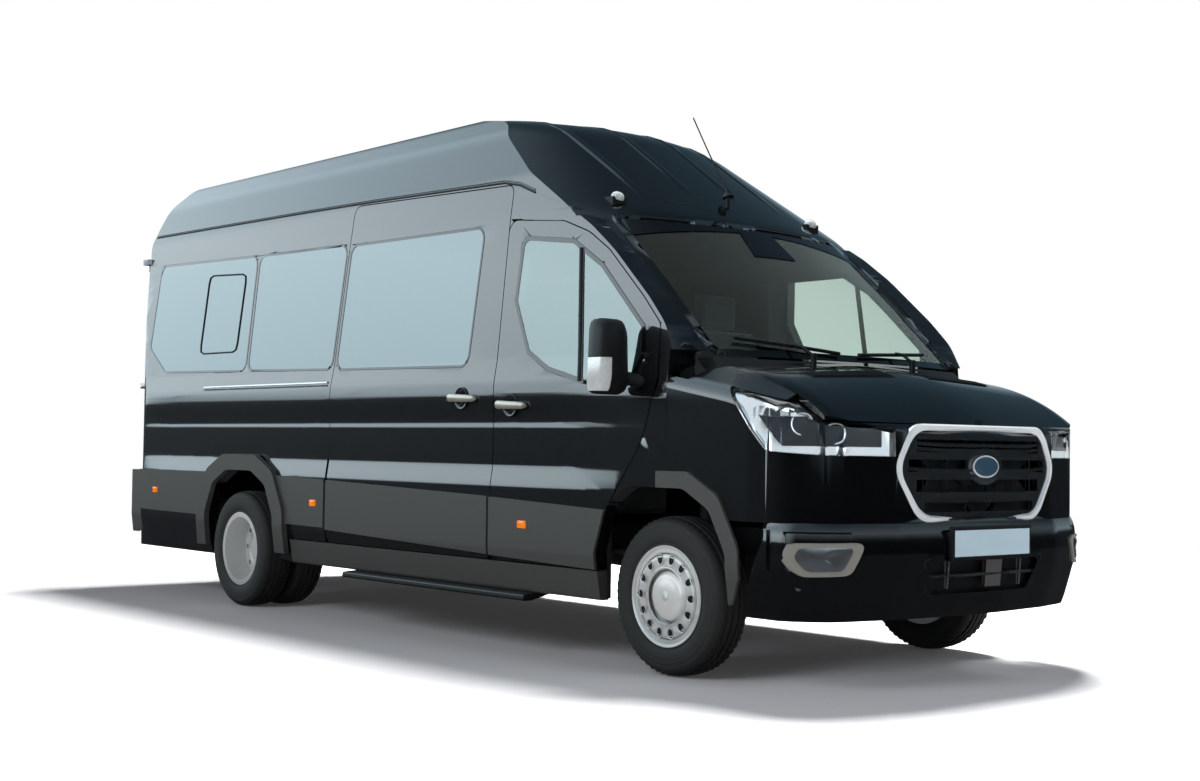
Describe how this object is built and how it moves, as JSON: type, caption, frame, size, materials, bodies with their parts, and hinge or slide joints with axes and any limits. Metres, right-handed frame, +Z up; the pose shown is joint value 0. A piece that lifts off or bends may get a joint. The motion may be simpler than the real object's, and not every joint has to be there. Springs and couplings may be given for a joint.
{
  "type": "high-roof passenger van with twin rear wheels",
  "caption": "Long high-roof van with side windows, sliding side door, rear double doors, steered front wheels and twin rear wheels.",
  "frame": {"origin": "centre of the footprint, on the ground", "axes": "+X forward along the vehicle, +Y to its left, +Z up"},
  "size_m": [6.39, 2.47, 2.7849],
  "materials": {
    "body_paint": "gloss",
    "dark_trim": "matt grained",
    "privacy_glass": "tinted",
    "clear_glass": "clear",
    "lamp_lens": "clear",
    "red_lens": "gloss",
    "chrome_trim": "polished",
    "silver_rail": "satin",
    "cab_plastic": "matt",
    "seat_cloth": "woven",
    "chassis_steel": "satin",
    "cast_iron": "cast",
    "exhaust_steel": "dull",
    "tank_plastic": "matt",
    "tyre": "matt",
    "silver_rim": "satin",
    "plate": "satin"
  },
  "bodies": {
    "body": {"floor_pan": "body_paint", "side_panel_left": "body_paint", "side_panel_right": "body_paint", "roof_panel": "body_paint", "roof_cap": "body_paint", "wings": "body_paint", "front_bumper": "body_paint", "cowl": "dark_trim", "grille": "chrome_trim", "headlamps": "lamp_lens", "fog_lamps": "dark_trim", "windscreen": "clear_glass", "side_glass": "privacy_glass", "sliding_door": "body_paint", "sliding_door_glass": "privacy_glass", "sliding_door_moulding": "dark_trim", "tail_lamps": "red_lens", "rear_bumper": "dark_trim", "side_mouldings": "dark_trim", "sills": "dark_trim", "side_step": "dark_trim", "slide_rail": "silver_rail", "chassis_rails": "chassis_steel", "engine": "cast_iron", "driveline": "cast_iron", "rear_axle": "cast_iron", "leaf_springs": "chassis_steel", "front_subframe": "chassis_steel", "exhaust": "exhaust_steel", "fuel_tank": "tank_plastic", "dashboard": "cab_plastic", "seats": "seat_cloth", "wipers": "dark_trim", "roof_fittings": "dark_trim", "number_plates": "plate"},
    "bonnet": {"bonnet": "body_paint"},
    "front_door_left": {"front_door_left": "body_paint", "door_glass_left": "clear_glass", "door_moulding_left": "dark_trim", "mirror_left": "dark_trim"},
    "front_door_right": {"front_door_right": "body_paint", "door_glass_right": "clear_glass", "door_moulding_right": "dark_trim", "mirror_right": "dark_trim"},
    "rear_door_left": {"rear_door_left": "body_paint", "rear_glass_left": "privacy_glass"},
    "rear_door_right": {"rear_door_right": "body_paint", "rear_glass_right": "privacy_glass"},
    "steering_wheel": {"steering_wheel": "cab_plastic"},
    "knuckle_left": {"front_knuckle_left": "cast_iron"},
    "knuckle_right": {"front_knuckle_right": "cast_iron"},
    "front_wheel_left": {"front_tyre_left": "tyre", "front_rim_left": "silver_rim"},
    "front_wheel_right": {"front_tyre_right": "tyre", "front_rim_right": "silver_rim"},
    "rear_wheels_left": {"rear_tyres_left": "tyre", "rear_rims_left": "silver_rim"},
    "rear_wheels_right": {"rear_tyres_right": "tyre", "rear_rims_right": "silver_rim"}
  },
  "joints": [
    {"name": "steer_left", "type": "hinge", "parent": "body", "child": "knuckle_left", "pos_m": [2.175, 0.78, 0.3495], "axis": [0, 0, 1], "range_deg": [-35, 35]},
    {"name": "steer_right", "type": "hinge", "parent": "body", "child": "knuckle_right", "pos_m": [2.175, -0.78, 0.3495], "axis": [0, 0, 1], "range_deg": [-35, 35]},
    {"name": "front_spin_left", "type": "hinge", "parent": "knuckle_left", "child": "front_wheel_left", "pos_m": [2.175, 0.866, 0.3495], "axis": [0, 1, 0], "continuous": true},
    {"name": "front_spin_right", "type": "hinge", "parent": "knuckle_right", "child": "front_wheel_right", "pos_m": [2.175, -0.866, 0.3495], "axis": [0, 1, 0], "continuous": true},
    {"name": "rear_spin_left", "type": "hinge", "parent": "body", "child": "rear_wheels_left", "pos_m": [-1.575, 0.8325, 0.3495], "axis": [0, 1, 0], "continuous": true},
    {"name": "rear_spin_right", "type": "hinge", "parent": "body", "child": "rear_wheels_right", "pos_m": [-1.575, -0.8325, 0.3495], "axis": [0, 1, 0], "continuous": true},
    {"name": "steering_wheel_turn", "type": "hinge", "parent": "body", "child": "steering_wheel", "pos_m": [1.79, 0.47, 1.175], "axis": [-0.8832, 0, 0.4691], "range_deg": [-526, 526]},
    {"name": "front_door_left_hinge", "type": "hinge", "parent": "body", "child": "front_door_left", "pos_m": [2.176, 1.042, 0.9], "axis": [0, 0, -1], "range_deg": [0, 68]},
    {"name": "front_door_right_hinge", "type": "hinge", "parent": "body", "child": "front_door_right", "pos_m": [2.176, -1.042, 0.9], "axis": [0, 0, 1], "range_deg": [0, 68]},
    {"name": "rear_door_left_hinge", "type": "hinge", "parent": "body", "child": "rear_door_left", "pos_m": [-3.183, 0.905, 1.5], "axis": [0, 0, -1], "range_deg": [0, 180]},
    {"name": "rear_door_right_hinge", "type": "hinge", "parent": "body", "child": "rear_door_right", "pos_m": [-3.183, -0.905, 1.5], "axis": [0, 0, 1], "range_deg": [0, 180]},
    {"name": "bonnet_hinge", "type": "hinge", "parent": "body", "child": "bonnet", "pos_m": [2.5, 0, 1.394], "axis": [0, -1, 0], "range_deg": [0, 50]}
  ],
  "couplings": [
    {"joint": "steer_right", "follows": "steer_left", "ratio": 1},
    {"joint": "steering_wheel_turn", "follows": "steer_left", "ratio": 15}
  ]
}
